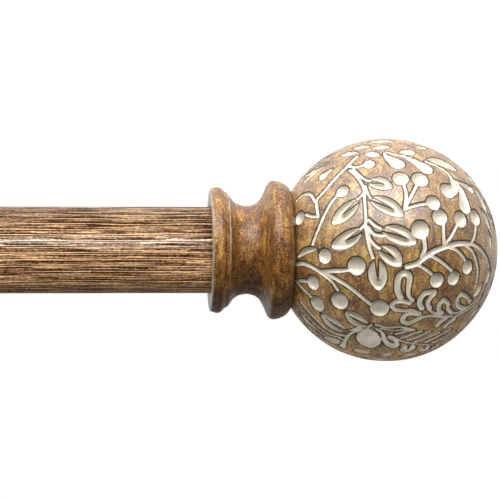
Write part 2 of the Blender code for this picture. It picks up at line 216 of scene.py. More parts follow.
# A leaf is a hollow with a pointed base and tip and a rib of ground left standing along its
# middle: base, tip, half-width, sideways bow, and the rib's length as a share of the leaf's.
LEAVES = [
    ((-20, 36), (-4.5, 32.5), 2.1, 0.4, 0.7),
    ((-18, 26.5), (0.5, 17), 2.3, 0.3, 0.75),
    ((-11.5, 10.5), (6.5, 3.5), 2.5, 0.3, 0.8),
    ((-12.5, 1.5), (-0.8, -7.5), 2.4, 0.5, 0.7),
    ((-22.5, 26), (-36.5, 13), 2.3, 0.2, 0.65),
    ((-19.5, 10.5), (-36, 1.5), 2.3, 0.5, 0.6),
    ((-13, -3.5), (-12, -20), 2.7, 0.0, 0.7),
    ((-44, 0.3), (-59, -4), 0.9, -0.9, 0.0),
    # garland round the bottom
    ((-19, -41.3), (-33, -32.3), 2.3, 0.3, 0.85),
    ((-36.5, -45.5), (-51.5, -34), 2.5, 0.3, 0.85),
    ((14, -55), (16, -65), 2.3, 0.0, 0.6),
    ((32, -57.5), (42, -64), 1.9, 0.0, 0.5),
    ((45, -58), (58, -60), 1.6, 0.0, 0.5),
    ((-50, -53), (-70, -51.5), 1.7, 0.4, 0.0),
    ((-27, -65), (-46, -62), 1.5, 0.0, 0.0),
    ((-20, -66), (0, -68), 1.5, 0.0, 0.5),
    ((8, -69), (38, -67), 1.3, 0.0, 0.5),
    ((-60, -72), (0, -77), 1.3, 0.0, 0.5),
    ((-75, -33), (-69, -44), 1.0, 0.0, 0.0),
    ((-83, -38), (-77, -50), 1.2, 0.0, 0.5),
    # top
    ((-55, 56.5), (-36, 58.5), 1.3, 0.0, 0.0),
    ((-29, 57.5), (-13.5, 56), 1.4, 0.0, 0.0),
    ((-50, 63.5), (-28, 66), 1.3, 0.0, 0.0),
    ((-24, 63), (-3, 66), 1.3, 0.0, 0.0),
    ((-42, 73), (8, 74), 1.4, 0.0, 0.0),
    ((4, 58.5), (22, 59), 1.5, 0.0, 0.0),
    ((27, 52.5), (54, 45), 2.1, 0.3, 0.0),
    ((20, 66), (50, 64), 1.3, 0.0, 0.5),
    ((-57, 51), (-80, 40), 1.3, 0.0, 0.6),
    ((-61, 48.5), (-74, 36), 1.0, 0.0, 0.0),
    ((-66, 60), (-90, 50), 1.3, 0.0, 0.6),
    ((60, 58), (85, 50), 1.4, 0.0, 0.6),
    # right edge
    ((61, 32), (63, 19), 1.6, 0.0, 0.0),
    ((53.5, 22), (61, 11), 1.5, 0.0, 0.0),
    ((57, 10), (60, 1), 1.1, 0.0, 0.0),
    ((61, -9), (59, -17), 1.2, 0.0, 0.0),
    ((54, -16), (48.5, -24), 1.4, 0.3, 0.0),
    ((62, -27), (61, -38), 1.9, 0.0, 0.5),
    # outer end
    ((68, 24), (80, 34), 1.9, 0.0, 0.6),
    ((75, 10), (64, 18), 1.6, 0.0, 0.6),
    ((76, 0), (88, -2), 1.9, 0.0, 0.6),
    ((74, -12), (70, -25), 1.8, 0.0, 0.6),
    ((83, -13), (84, -28), 2.0, 0.0, 0.6),
]

BERRY_DEPTH = 0.48  # of its radius
LEAF_DEPTH = 1.0
LEAF_WALL = 0.95  # width of the slope round a leaf's hollow
RIB_HALF_WIDTH = 0.8
LIT_FROM = math.radians(38)  # the height of the light that the painted shade on the carving is turned away from
PATH_STEP = 0.35  # between the points of a stroke's path
UNCARVED = -9.0  # distance inside the carving's outline, where there is no carving near


def between(p0, p1, p2, p3, t):
    """The place at t from p1 to p2 on a smooth curve through four points."""
    bend = 2 * p0 - 5 * p1 + 4 * p2 - p3
    return p1 + 0.5 * t * (p2 - p0 + t * (bend + t * (3 * p1 - p0 - 3 * p2 + p3)))


def direction(longitude, latitude):
    """Unit vector of a place on the ball, in the finial's frame."""
    lon, lat = math.radians(longitude), math.radians(latitude)
    return np.array(
        (math.sin(lon) * math.cos(lat), -math.cos(lon) * math.cos(lat), math.sin(lat))
    )


def smooth_path(places):
    """Unit vectors at even steps along a smooth curve through the places."""
    knots = np.array([direction(*place) for place in places])
    knots = np.vstack((2 * knots[0] - knots[1], knots, 2 * knots[-1] - knots[-2]))
    found = []
    for p0, p1, p2, p3 in zip(knots, knots[1:], knots[2:], knots[3:]):
        count = max(2, int(np.linalg.norm(p2 - p1) * BALL_R / PATH_STEP))
        found.append(between(p0, p1, p2, p3, (np.arange(count) / count)[:, None]))
    found.append(knots[-2][None])
    path = np.vstack(found)
    return path / np.linalg.norm(path, axis=1)[:, None]


class Carving:
    """Depth of the carving and distance inside its outline, both in millimetres, by point."""

    def __init__(self, points):
        self.points = points
        self.depth = np.zeros(len(points))
        self.inside = np.full(len(points), UNCARVED)

    def near(self, centre, reach):
        """Indices of the points within reach of a unit vector."""
        return np.nonzero(self.points @ centre > math.cos(reach / BALL_R))[0]

    def carve(self, where, depth, inside):
        self.depth[where] = np.maximum(self.depth[where], depth)
        self.inside[where] = np.maximum(self.inside[where], inside)

    def stroke(self, path, radii):
        """A groove along a path, with a half-width for each of the path's points."""
        middle = path.mean(axis=0)
        middle /= np.linalg.norm(middle)
        reach = np.linalg.norm(path - middle, axis=1).max() * BALL_R * 1.1 + radii.max() + 2.0
        where = self.near(middle, reach)
        apart = np.linalg.norm(self.points[where][:, None] - path[None], axis=2) * BALL_R
        nearest = (apart - radii[None]).argmin(axis=1)
        distance = apart[np.arange(len(where)), nearest]
        radius = radii[nearest]
        fullness = np.clip(1 - (distance / radius) ** 2, 0, None) ** 0.6
        self.carve(where, fullness * (0.25 + BERRY_DEPTH * radius * 0.95), radius - distance)

    def leaf(self, base, tip, half_width, bow, rib):
        """An almond hollow with a rib along its middle."""
        base, tip = direction(*base), direction(*tip)
        middle = (base + tip) / np.linalg.norm(base + tip)
        along = (tip - base) / np.linalg.norm(tip - base)
        across = np.cross(middle, along)
        half_length = np.linalg.norm(tip - base) * BALL_R / 2
        where = self.near(middle, half_length + half_width + 2.0)
        x = self.points[where] @ along * BALL_R / half_length
        y = self.points[where] @ across * BALL_R
        bulge = np.clip(1 - x**2, 0, None)
        side = np.abs(y - bow * bulge)
        edge = half_width * (1 - np.abs(x * 0.96 - 0.04) ** 2.3)
        outline = np.minimum(edge - side, (1 - np.abs(x)) * half_length)
        ridge = np.full(len(x), UNCARVED)
        if rib:
            taper = np.clip(1 - (x + 1) / (2 * rib), 0, 1)
            ridge = RIB_HALF_WIDTH * taper**0.6 - side
            ridge[taper <= 0] = UNCARVED
        inside = np.minimum(outline, -ridge)
        slope = np.clip(inside / LEAF_WALL, 0, 1)
        self.carve(where, LEAF_DEPTH * (1 - (1 - slope) ** 2), inside)


def carve_ball(points):
    """The vine on both faces of the ball. The back is the front turned about the rod's axis."""
    both = []
    for turn in (1, -1):
        carving = Carving(points * (1, turn, turn))
        for radii, places in STROKES:
            path = smooth_path(places)
            start, end = radii if isinstance(radii, tuple) else (radii, radii)
            carving.stroke(path, start + (end - start) * np.linspace(0, 1, len(path)) ** 1.3)
        for longitude, latitude, radius in BERRIES:
            carving.stroke(direction(longitude, latitude)[None], np.array([radius]))
        for leaf in LEAVES:
            carving.leaf(*leaf)
        both.append(carving)
    depth = np.maximum(both[0].depth, both[1].depth)
    return depth, np.maximum(both[0].inside, both[1].inside)


# --- Mesh tools ----------------------------------------------------------------------------------


def make_piece(name, points, faces, material, body, nodes, place=(0, 0, 0), turn=RIGHT):
    """A smooth-shaded mesh piece from points in millimetres, in place of CAD nodes."""
    mesh = bpy.data.meshes.new(name)
    mesh.from_pydata(np.asarray(points) * MM, [], faces)
    mesh.validate()
    mesh.shade_smooth()
    return place_piece(name, mesh, material, body, nodes, place, turn)


def place_piece(name, mesh, material, body, nodes, place, turn):
    mesh.materials.append(material)
    piece = bpy.data.objects.new(name, mesh)
    piece.location = [value * MM for value in place]
    piece.rotation_euler = turn
    bpy.context.scene.collection.objects.link(piece)
    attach(piece, body)
    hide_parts(*nodes)
    return piece


def softened(outline, radius):
    """An outline with each of its corners rounded off."""
    steps = 3
    corners = [Vector(corner) for corner in outline]
    soft = [corners[0]]
    for before, corner, after in zip(corners, corners[1:], corners[2:]):
        towards, onwards = before - corner, after - corner
        start = corner + towards.normalized() * min(radius, towards.length * 0.45)
        end = corner + onwards.normalized() * min(radius, onwards.length * 0.45)
        for step in range(steps + 1):
            t = step / steps
            soft.append(start.lerp(corner, t).lerp(corner.lerp(end, t), t))
    soft.append(corners[-1])
    return [tuple(point) for point in soft]


def lathe(outline, sides, shape=None):
    """Points and faces of a solid turned about +X.

    The outline is (distance along, radius). One that starts on the axis ends on it, and any
    other is a closed ring. shape(along, radius, angle) may return a new radius.
    """
    closed = outline[0][1] > 0
    points, rings = [], []
    for along, radius in outline:
        if radius <= 0:
            rings.append([len(points)] * sides)
            points.append((along, 0.0, 0.0))
            continue
        rings.append(list(range(len(points), len(points) + sides)))
        for side in range(sides):
            angle = 2 * math.pi * side / sides
            r = shape(along, radius, angle) if shape else radius
            points.append((along, r * math.sin(angle), r * math.cos(angle)))
    if closed:
        rings.append(rings[0])
    faces = []
    for ring, following in zip(rings, rings[1:]):
        for side in range(sides):
            after = (side + 1) % sides
            corners = (ring[side], ring[after], following[after], following[side])
            faces.append(tuple(dict.fromkeys(corners)))
    return points, [face for face in faces if len(face) > 2]


def turned(name, outline, material, body, place, turn, soft=0.3, sides=96, shape=None):
    """A turned piece with rounded corners, which stands for the CAD node of the same name."""
    if outline[0][1] > 0:
        outline = outline + [outline[0], outline[1]]
        outline = softened(outline, soft)[1:-1]
    else:
        outline = softened(outline, soft)
    points, faces = lathe(outline, sides, shape)
    piece = make_piece(f"{name}_look", points, faces, material, body, [name], place, turn)
    faces_out(piece.data, weld=True)
    shade_flat_faces(piece)
    return piece


def faces_out(mesh, weld=False):
    """Turns a mesh's faces outwards, and welds its doubled points first if asked."""
    shape = bmesh.new()
    shape.from_mesh(mesh)
    if weld:
        bmesh.ops.remove_doubles(shape, verts=shape.verts[:], dist=1e-7)
    bmesh.ops.recalc_face_normals(shape, faces=shape.faces[:])
    shape.to_mesh(mesh)
    shape.free()


def shade_flat_faces(piece):
    """Makes a piece's flat faces shade flat beside its rounded corners."""
    piece.modifiers.new("Flat faces", "WEIGHTED_NORMAL").weight = 80


def cut(piece, outline, place, turn, sides=64):
    """Cuts a turned hole in a piece, for good."""
    points, faces = lathe(outline, sides)
    cut_mesh(piece, points, faces, place, turn)


def cut_mesh(piece, points, faces, place, turn, operation="DIFFERENCE"):
    """Cuts a closed mesh out of a piece, or joins it on, for good."""
    mesh = bpy.data.meshes.new("tool")
    mesh.from_pydata(np.asarray(points) * MM, [], faces)
    faces_out(mesh)
    tool = bpy.data.objects.new("tool", mesh)
    bpy.context.scene.collection.objects.link(tool)
    tool.location = [value * MM for value in place]
    tool.rotation_euler = turn
    shades_flat = "Flat faces" in piece.modifiers
    piece.modifiers.clear()
    boolean = piece.modifiers.new("cut", "BOOLEAN")
    boolean.operation = operation
    boolean.solver = "MANIFOLD"
    boolean.object = tool
    bpy.context.view_layer.update()
    graph = bpy.context.evaluated_depsgraph_get()
    result = bpy.data.meshes.new_from_object(piece.evaluated_get(graph))
    piece.modifiers.clear()
    piece.data = result
    bpy.data.objects.remove(tool)
    if shades_flat:
        shade_flat_faces(piece)


def pin(start, end, radius):
    """The outline of a plain pin, or of the hole for one."""
    return [(start, 0.0), (start, radius), (end, radius), (end, 0.0)]


def threaded(start, end, radius, pitch, depth):
    """A lathe shape that winds a thread round one stretch of a shank."""

    def shape(along, r, angle):
        if not start < along < end or abs(r - radius) > 0.01:
            return r
        phase = (along / pitch + angle / (2 * math.pi)) % 1.0
        fade = min(1.0, (along - start) / pitch, (end - along) / pitch)
        return r - depth * fade * abs(2 * phase - 1)

    return shape


def shank(start, end, radius, pitch):
    """Outline points close enough together to carry a thread."""
    count = int((end - start) / pitch * 6)
    return [(start + (end - start) * step / count, radius) for step in range(count + 1)]


# --- Materials -----------------------------------------------------------------------------------


class Nodes:
    """A node tree and short ways to add nodes to it."""

    def __init__(self, tree):
        self.tree = tree

    def put(self, socket, value):
        if isinstance(value, bpy.types.NodeSocket):
            self.tree.links.new(value, socket)
        else:
            socket.default_value = value

    def add(self, kind, **values):
        """A new node, with a value or a link for each of the named inputs."""
        node = self.tree.nodes.new("ShaderNode" + kind)
        for name, value in values.items():
            self.put(node.inputs[name.replace("_", " ")], value)
        return node

    def ramp(self, factor, *stops):
        """A colour or grey for each (position, value) stop, blended between."""
        node = self.add("ValToRGB", Fac=factor)
        elements = node.color_ramp.elements
        while len(elements) < len(stops):
            elements.new(0.5)
        for element, (position, value) in zip(elements, stops):
            element.position = position
            colour = value if isinstance(value, tuple) else (value, value, value)
            element.color = (*colour, 1.0)
        return node.outputs["Color"]

    def math(self, operation, first, second=0.0, third=0.0):
        node = self.add("Math")
        node.operation = operation
        for socket, value in zip(node.inputs, (first, second, third)):
            self.put(socket, value)
        return node.outputs["Value"]

    def map_range(self, value, source, target=(0.0, 1.0)):
        """A value moved from one range to another, and kept inside it."""
        node = self.add("MapRange", Value=value, From_Min=source[0], From_Max=source[1])
        self.put(node.inputs["To Min"], target[0])
        self.put(node.inputs["To Max"], target[1])
        return node.outputs["Result"]


class Surface(Nodes):
    """A material, with its shader and its piece's own coordinates."""

    def __init__(self, name, slot, **values):
        self.material = bpy.data.materials.new(name)
        self.material["slot"] = slot
        self.material.use_nodes = True
        super().__init__(self.material.node_tree)
        self.shader = self.tree.nodes["Principled BSDF"]
        self.set(Coat_Roughness=0.3)
        self.set(**values)
        self.place = self.add("TexCoord").outputs["Object"]

    def set(self, **values):
        """Gives the shader's named inputs a value or a link each."""
        for name, value in values.items():
            self.put(self.shader.inputs[name.replace("_", " ")], value)

    def stretched(self, scale):
        """The coordinates with each axis scaled."""
        return self.add("Mapping", Vector=self.place, Scale=scale).outputs["Vector"]

    def noise(self, scale, detail=2.0, roughness=0.5, place=None):
        place = place or self.place
        node = self.add("TexNoise", Vector=place, Scale=scale, Detail=detail, Roughness=roughness)
        return node.outputs["Fac"]

    def attribute(self, name):
        node = self.add("Attribute")
        node.attribute_name = name
        return node.outputs["Fac"]

    def mix(self, factor, first, second, blend="MIX"):
        node = self.add("Mix")
        node.data_type = "RGBA"
        node.blend_type = blend
        self.put(node.inputs["Factor"], factor)
        for socket, value in ((node.inputs[6], first), (node.inputs[7], second)):
            self.put(socket, (*value, 1.0) if isinstance(value, tuple) else value)
        return node.outputs[2]

    def bump(self, height, distance, strength):
        """Bumps the surface, by a distance in metres for the height's whole range."""
        node = self.add("Bump", Height=height, Distance=distance, Strength=strength)
        self.set(Normal=node.outputs["Normal"])


def faux_wood():
    """Printed and embossed wood grain along the tube: dark fissures between cream raised fibres."""
    surface = Surface("Faux wood", "faux_wood", Roughness=0.55, Coat_Roughness=0.28)
    surface.set(Coat_IOR=1.6, Specular_IOR_Level=0.1)
    parts = surface.add("SeparateXYZ", Vector=surface.place)
    angle = surface.math("ARCTAN2", parts.outputs["Z"], parts.outputs["Y"])
    grit = surface.noise(2500.0, 2.0, 0.8, surface.stretched((0.42, 1, 1)))
    sway = surface.noise(240.0, 2.0, 0.5, surface.stretched((0.09, 1, 1)))
    patches = surface.noise(170.0, 2.0, 0.5, surface.stretched((0.08, 1, 1)))

    fissure = 0.0
    fibre = 0.0
    # Three sets of lines, by their number round the tube. Each one sways and breaks off unevenly
    for lines, swing, depth in ((93, 15.0, 1.0), (137, 21.0, 1.0), (183, 27.0, 0.9)):
        breaks = surface.noise(lines * 9.0, 2.0, 0.6, surface.stretched((0.06, 1, 1)))
        phase = surface.math("MULTIPLY_ADD", sway, swing, surface.math("MULTIPLY", angle, lines))
        wave = surface.math("MULTIPLY_ADD", surface.math("SINE", phase), 0.5, 0.5)
        level = surface.math("MULTIPLY_ADD", grit, 0.5, wave)
        level = surface.math("MULTIPLY_ADD", breaks, 2.0, level)
        level = surface.math("MULTIPLY", level, 0.4)
        dark = surface.ramp(level, (0.535, depth), (0.580, 0.0))
        light = surface.ramp(level, (0.77, 0.0), (0.84, depth))
        fissure = surface.math("MAXIMUM", dark, fissure)
        fibre = surface.math("MAXIMUM", light, fibre)

    tone = surface.math("MULTIPLY_ADD", grit, 0.8, surface.math("MULTIPLY", patches, 0.2))
    base = surface.ramp(
        tone, (0.41, (0.16, 0.030, 0.002)), (0.5, (0.50, 0.158, 0.020)), (0.58, (1.0, 0.50, 0.15))
    )
    base = surface.mix(surface.math("MULTIPLY", fibre, 0.7), base, (1.0, 0.67, 0.385))
    base = surface.mix(surface.math("MULTIPLY", fissure, 0.97), base, (0.034, 0.010, 0.002))
    surface.set(Base_Color=base)
    surface.set(Coat_Weight=surface.ramp(fissure, (0.0, 0.9), (0.7, 0.0)))
    surface.set(Roughness=surface.ramp(fissure, (0.0, 0.5), (1.0, 0.9)))
    relief = surface.math("MULTIPLY_ADD", fissure, -1.0, surface.math("MULTIPLY", tone, 0.7))
    relief = surface.math("MULTIPLY_ADD", fibre, 0.3, relief)
    surface.bump(relief, 0.0003, 1.0)
    return surface.material


def resin_ground(surface, mottle):
    """Golden-brown paint, speckled and more or less mottled, and the height of its speckle."""
    cloud = surface.noise(210.0, 2.0, 0.5)
    streaks = surface.noise(650.0, 2.0, 0.6, surface.stretched((1.0, 1.0, 0.25)))
    speckle = surface.noise(1900.0, 3.0, 0.75)
    glints = surface.noise(2500.0, 2.0, 0.6)
    tone = surface.math("MULTIPLY", surface.math("ADD", streaks, cloud), mottle / 2)
    tone = surface.math("MULTIPLY_ADD", speckle, 1 - mottle, tone)
    ground = surface.ramp(
        tone,
        (0.43, (0.105, 0.030, 0.003)),
        (0.47, (0.22, 0.079, 0.007)),
        (0.525, (0.40, 0.183, 0.024)),
        (0.58, (0.74, 0.465, 0.120)),
    )
    glint = surface.ramp(glints, (0.59, 0.0), (0.65, 0.85))
    return surface.mix(glint, ground, (0.95, 0.63, 0.25)), speckle


def carved_resin():
    """Brown casting, whitewashed in the carving, with dark glaze, painted shade and a painted
    highlight.
    """
    surface = Surface("Carved resin", "carved_resin", Coat_Weight=1.0, Coat_Roughness=0.45)
    surface.set(Coat_IOR=2.3, Specular_IOR_Level=0.4)
    ground, speckle = resin_ground(surface, 0.55)
    chalk_cloud = surface.noise(420.0, 3.0, 0.6)
    chalk = surface.ramp(
        chalk_cloud, (0.3, (0.78, 0.68, 0.53)), (0.5, (0.88, 0.79, 0.62)), (0.7, (0.94, 0.87, 0.72))
    )
    grit = surface.math("SUBTRACT", speckle, 0.5)
    edge = surface.math("MULTIPLY_ADD", grit, 0.10, surface.attribute("edge"))
    # painted highlight: a brighter cream just inside the carving's edge, where the rims would catch
    # the light
    painted_rim_highlight = surface.ramp(edge, (0.50, 0.0), (0.58, 1.0), (0.68, 1.0), (0.80, 0.0))
    chalk = surface.mix(painted_rim_highlight, chalk, (0.96, 0.86, 0.67))
    wash = surface.ramp(edge, (0.455, 0.0), (0.525, 1.0))
    painted = surface.mix(wash, ground, chalk)
    # dark outline round the carving: glaze all round, and painted shade where the rim mask says the
    # walls turn from the light
    line = surface.ramp(edge, (0.26, 0.0), (0.35, 1.0), (0.485, 1.0), (0.54, 0.0))
    # the shade mask adds painted shade inside the hollows; together they darken the paint below
    glaze_and_painted_shade = surface.math("MULTIPLY_ADD", line, surface.attribute("rim"), surface.attribute("shade"))
    painted = surface.mix(surface.math("MINIMUM", glaze_and_painted_shade, 0.95), painted, (0.040, 0.015, 0.004))
    surface.set(Base_Color=painted)
    surface.set(Coat_Weight=surface.ramp(glaze_and_painted_shade, (0.2, 1.0), (0.9, 0.25)))
    surface.set(Roughness=surface.ramp(speckle, (0.35, 0.62), (0.65, 0.40)))
    surface.bump(speckle, 0.0003, 0.8)
    return surface.material


def turned_resin():
    """The neck's paint: the same brown, brushed round the neck, with a thin grey wash and painted
    shade.
    """
    surface = Surface("Turned resin", "carved_resin", Roughness=0.42)
    surface.set(Coat_Weight=0.55, Coat_Roughness=0.36)
    ground, speckle = resin_ground(surface, 0.52)
    brushed = surface.noise(420.0, 3.0, 0.6, surface.stretched((2.6, 0.35, 0.35)))
    tone = surface.ramp(brushed, (0.38, (0.60, 0.50, 0.43)), (0.62, (0.99, 0.87, 0.78)))
    ground = surface.mix(1.0, ground, tone, "MULTIPLY")
    grit = surface.math("SUBTRACT", speckle, 0.5)
    ragged = surface.math("MULTIPLY_ADD", grit, 0.9, surface.attribute("wash"))
    wash = surface.ramp(ragged, (0.3, 0.0), (0.8, 1.0))
    painted = surface.mix(wash, ground, (0.66, 0.58, 0.46))
    # painted shade from the neck's mask, with some glaze: darker in the cove, under the bead, at
    # the step and at the joint
    glaze_and_painted_shade = surface.math("MULTIPLY", surface.attribute("glaze_and_painted_shade"), 0.85)
    painted = surface.mix(glaze_and_painted_shade, painted, (0.050, 0.020, 0.007))
    surface.set(Base_Color=painted)
    surface.set(Roughness=surface.ramp(speckle, (0.35, 0.55), (0.65, 0.34)))
    surface.bump(surface.math("MULTIPLY_ADD", brushed, 0.6, speckle), 0.00025, 0.7)
    return surface.material


def bronze_paint():
    """Antique bronze paint: nearly black brown with rubbed warm patches."""
    surface = Surface("Bronze paint", "bronze_paint", Roughness=0.42, Metallic=0.55)
    surface.set(Coat_Weight=0.3)
    rubbed = surface.noise(120.0, 4.0, 0.6)
    grit = surface.noise(1500.0, 2.0, 0.6)
    patches = surface.math("MULTIPLY_ADD", grit, 0.3, surface.math("MULTIPLY", rubbed, 0.7))
    paint = surface.ramp(
        patches,
        (0.40, (0.050, 0.030, 0.018)),
        (0.52, (0.105, 0.062, 0.034)),
        (0.66, (0.27, 0.165, 0.085)),
    )
    surface.set(Base_Color=paint)
    surface.set(Roughness=surface.ramp(patches, (0.4, 0.52), (0.62, 0.34)))
    surface.bump(grit, 0.00012, 0.6)
    return surface.material


def zinc_steel():
    """Bright zinc plating with faint drawn lines."""
    surface = Surface("Zinc steel", "zinc_steel", Roughness=0.3, Metallic=1.0)
    drawn = surface.noise(700.0, 3.0, 0.6, surface.stretched((1.0, 0.15, 0.15)))
    plating = surface.ramp(drawn, (0.35, (0.50, 0.50, 0.47)), (0.65, (0.72, 0.71, 0.66)))
    surface.set(Base_Color=plating)
    surface.set(Roughness=surface.ramp(drawn, (0.35, 0.42), (0.65, 0.24)))
    surface.bump(drawn, 0.00005, 0.5)
    return surface.material


def moulded(name, slot, dark, light, roughness):
    """Moulded plastic with a faint spark-eroded texture."""
    surface = Surface(name, slot, Roughness=roughness)
    grain = surface.noise(2200.0, 2.0, 0.5)
    cloud = surface.noise(180.0, 2.0, 0.5)
    surface.set(Base_Color=surface.ramp(cloud, (0.35, dark), (0.65, light)))
    surface.set(Roughness=surface.ramp(grain, (0.35, roughness + 0.1), (0.65, roughness - 0.05)))
    surface.bump(grain, 0.00006, 0.5)
    return surface.material


WOOD = faux_wood()
CARVED = carved_resin()
NECK = turned_resin()
BRONZE = bronze_paint()
ZINC = zinc_steel()
NYLON = moulded("Nylon", "nylon", (0.66, 0.63, 0.57), (0.78, 0.75, 0.69), 0.45)
PLASTIC = moulded("Dark plastic", "dark_plastic", (0.055, 0.035, 0.024), (0.085, 0.056, 0.04), 0.42)


# --- Finials -------------------------------------------------------------------------------------


def geodesic(frequency):
    """Unit vectors and triangles of an icosahedron whose faces are split evenly."""
    shape = bmesh.new()
    bmesh.ops.create_icosphere(shape, subdivisions=1, radius=1.0)
    found, triangles, start = [], [], 0
    for face in shape.faces:
        a, b, c = (np.array(vert.co) for vert in face.verts)
        index = {}
        for i in range(frequency + 1):
            for j in range(frequency + 1 - i):
                index[i, j] = start + len(index)
                found.append(a + (b - a) * (i / frequency) + (c - a) * (j / frequency))
        for i in range(frequency):
            for j in range(frequency - i):
                triangles.append((index[i, j], index[i + 1, j], index[i, j + 1]))
                if i + j < frequency - 1:
                    triangles.append((index[i + 1, j], index[i + 1, j + 1], index[i, j + 1]))
        start += len(index)
    shape.free()
    found = np.array(found)
    found /= np.linalg.norm(found, axis=1)[:, None]
    rounded = np.round(found, 6)
    _, first, merged = np.unique(rounded, axis=0, return_index=True, return_inverse=True)
    return found[first], merged.reshape(-1)[np.array(triangles)]


def set_mask(mesh, name, values):
    """Stores a 0 to 1 mask on a mesh's points."""
    layer = mesh.attributes.new(name, "FLOAT", "POINT")
    layer.data.foreach_set("value", np.clip(values, 0, 1).astype(np.float32))


def uneven(points, scale, seed):
    """A soft noise for each point, from about -1 to 1."""
    shift = Vector((seed * 17.3, seed * 5.1, seed * 9.7))
    return np.array([noise.noise(Vector(point) * scale + shift) for point in points])


BALL_SPLITS = 98  # of each of the icosahedron's edges, for triangles of about 0.4 mm
BALL_GROUND_R = BALL_R - 0.12  # leaves room for the casting's uneven ground inside the CAD's ball


def make_ball_mesh():
    """The carved ball, in the finial's frame."""
    around, triangles = geodesic(BALL_SPLITS)
    depth, inside = carve_ball(around)
    wobble = uneven(around, 2.2, 1) * 0.10 + uneven(around, 7.0, 2) * 0.05
    radius = BALL_GROUND_R + np.clip(wobble, -0.2, 0.1) - depth
    points = around * radius[:, None]
    points[:, 0] += BALL_CENTRE
    off_axis = np.hypot(points[:, 1], points[:, 2])
    bore = (off_axis < STUD_BORE_R) & (around[:, 0] < 0)
    points[bore, 0] = BALL_BORE_END

    mesh = bpy.data.meshes.new("carved_ball")
    mesh.from_pydata(points * MM, [], triangles.tolist())
    mesh.shade_smooth()
    normals = np.zeros(len(points) * 3)
    mesh.vertices.foreach_get("normal", normals)
    normals = normals.reshape(-1, 3)
    if (normals * around).sum() < 0:
        mesh.flip_normals()
        normals = -normals

    outwards = around * (1, 1, 0)
    outwards /= np.maximum(np.linalg.norm(outwards, axis=1), 1e-6)[:, None]
    lit_from = outwards * math.cos(LIT_FROM) + np.array((0, 0, math.sin(LIT_FROM)))
    lean = ((normals - around) * lit_from).sum(axis=1)  # above 0 where the carving is lit
    painted_shade_below = np.clip(-around[:, 2] * 1.6, 0, 1)  # painted shade: darker towards the bottom, where less light falls
    set_mask(mesh, "edge", 0.5 + inside / 2)  # half way is the carving's edge, and 0.5 is 1 mm
    # rim: how dark the outline is; glaze all round plus painted shade on walls turned from the
    # light and towards the bottom
    set_mask(mesh, "rim", 0.8 + painted_shade_below * 0.4 - lean * 2.0)
    # painted shade inside the hollows, on the walls turned from the light, more so underneath
    shade = np.clip(-lean * (1.3 + painted_shade_below * 0.9) - 0.3 + painted_shade_below * 0.1, 0, 0.8)
    set_mask(mesh, "shade", shade * (inside > -0.2))
    return mesh


NECK_OUTLINE = [
    (0.0, 17.7), (0.4, 18.1), (2.0, 18.55), (3.2, 18.25), (4.2, 17.25), (4.9, 16.9), (5.5, 16.3),
    (6.6, 14.75), (7.8, 13.75), (9.3, 13.2), (10.8, 13.0), (12.4, 13.25), (13.7, 13.8),
    (14.9, 15.0), (16.1, 17.1), (17.2, 19.6), (18.1, 20.4), (19.4, 20.45), (20.8, 20.05),
    (22.0, 19.5), (23.0, 18.6),
]


def spline(points, spacing):
    """Points at about even steps on a smooth curve through the given ones."""
    knots = [Vector(point) for point in points]
    knots = [2 * knots[0] - knots[1]] + knots + [2 * knots[-1] - knots[-2]]
    found = []
    for p0, p1, p2, p3 in zip(knots, knots[1:], knots[2:], knots[3:]):
        count = max(1, round((p2 - p1).length / spacing))
        found += [between(p0, p1, p2, p3, step / count) for step in range(count)]
    found.append(knots[-2])
    return [tuple(point) for point in found]


def make_neck_mesh():
    """The turned neck with its tool marks, hand-rubbed paint and painted shade, in the finial's
    frame.
    """
    seat = [
        (BALL_CENTRE - math.sqrt((BALL_R + GAP) ** 2 - radius**2), radius)
        for radius in (17.4, 14.0, 10.0, 6.0, STUD_BORE_R)
    ]
    recess_depth = 3.2
    inner = [(recess_depth, STUD_BORE_R), (recess_depth, CRADLE_R), (0.2, CRADLE_R), (0.0, 13.2)]
    show = spline(NECK_OUTLINE, 0.28)
    outline = show + seat + inner

    def tool_marks(along, radius, angle):
        if radius < 12.9 or along > 23.2:  # inside the neck, where nothing shows
            return radius
        at = Vector((along, 3 * math.cos(angle), 3 * math.sin(angle)))
        ring = noise.noise(Vector((along * 1.3, 0.4 * math.cos(angle), 0.4 * math.sin(angle))))
        return radius + 0.07 * ring + 0.05 * noise.noise(at * 0.9)

    sides = 256
    points, faces = lathe(outline, sides, tool_marks)
    mesh = bpy.data.meshes.new("turned_neck")
    mesh.from_pydata(np.array(points) * MM, [], faces)
    faces_out(mesh)
    mesh.shade_smooth()

    points = np.array(points)
    along, off_axis = points[:, 0], np.hypot(points[:, 1], points[:, 2])

    def band(middle, width):
        """A soft band round the neck."""
        return np.exp(-(((along - middle) / width) ** 2))

    patchy = uneven(points, 0.16, 3) * 0.5 + uneven(points, 0.6, 4) * 0.25
    bead = band(5.15, 0.22) * np.clip(patchy + 0.75, 0, 1)
    rim = band(0.0, 0.55) * 0.7
    shoulder = band(19.6, 0.3) * np.clip(patchy + 0.35, 0, 1) * 0.8
    lip = band(16.0, 1.3) * 0.25
    set_mask(mesh, "wash", bead + rim + shoulder + lip + patchy * 0.2)
    # painted shade, with some glaze: darker at the joint with the ball, under the bead, at the step
    # and in the cove
    joint_shadow = band(23.6, 0.7) * (off_axis > 16)
    shade_under_bead = band(5.7, 0.25) * 0.35
    step_shade = band(22.2, 0.25) * 0.4
    cove_shade = band(10.6, 3.5) * np.clip(patchy + 0.4, 0, 1) * 0.45
    set_mask(mesh, "glaze_and_painted_shade", joint_shadow + shade_under_bead + step_shade + cove_shade)
    return mesh


